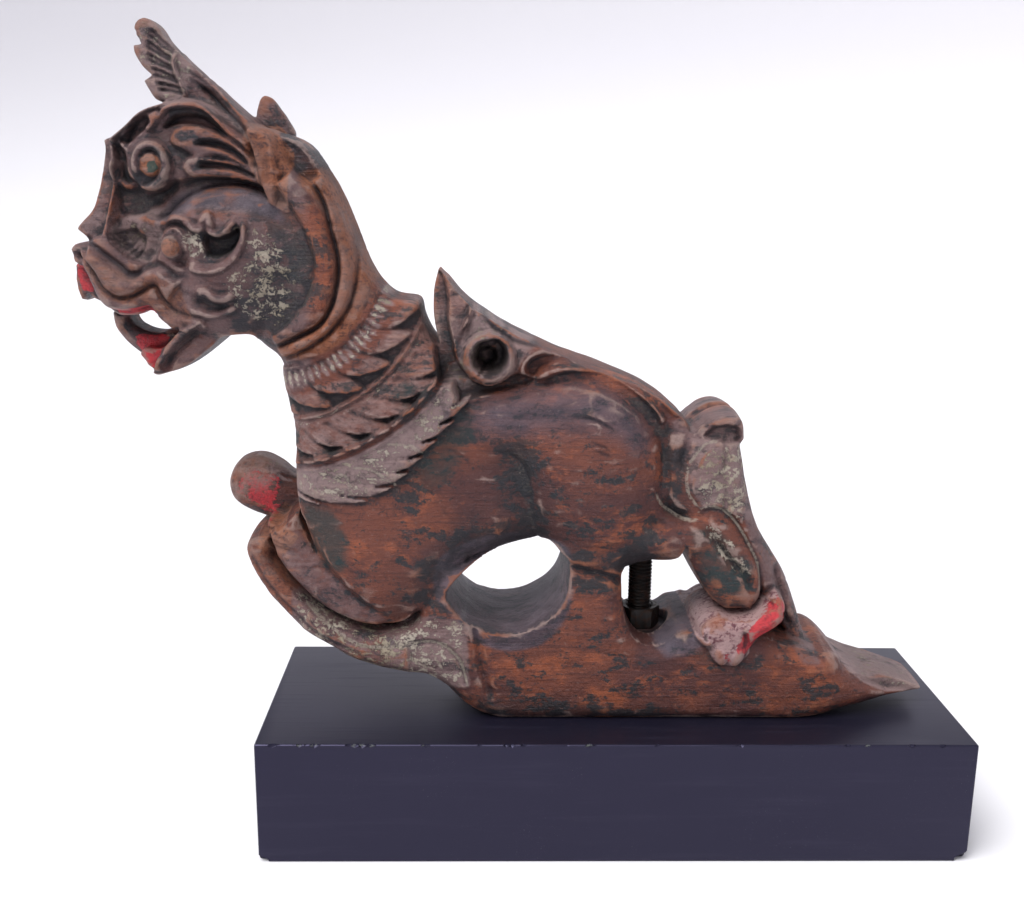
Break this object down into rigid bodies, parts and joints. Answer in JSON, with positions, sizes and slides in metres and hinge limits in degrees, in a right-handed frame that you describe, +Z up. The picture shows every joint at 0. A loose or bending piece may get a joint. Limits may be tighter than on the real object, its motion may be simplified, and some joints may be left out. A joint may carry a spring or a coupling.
{
  "type": "carved wooden cart ornament",
  "caption": "Leaping mythical lion carved in one with a tapering log, worn and painted, held on a plain block by a threaded rod and nut.",
  "frame": {"origin": "middle of the display block's underside", "axes": "+Z up, +X along the block from the lion's head towards the log's tip, +Y away from the shown side"},
  "size_m": [0.4502, 0.124, 0.4103],
  "materials": {
    "carved_wood": "worn red-brown wood with remains of mauve, dark green, cream and red paint",
    "black_block": "satin black paint with small chips",
    "dark_steel": "dull darkened steel"
  },
  "bodies": {
    "root": {"carved_lion": "carved_wood", "display_block": "black_block", "mounting_rod": "dark_steel", "hex_nut": "dark_steel"}
  },
  "joints": []
}
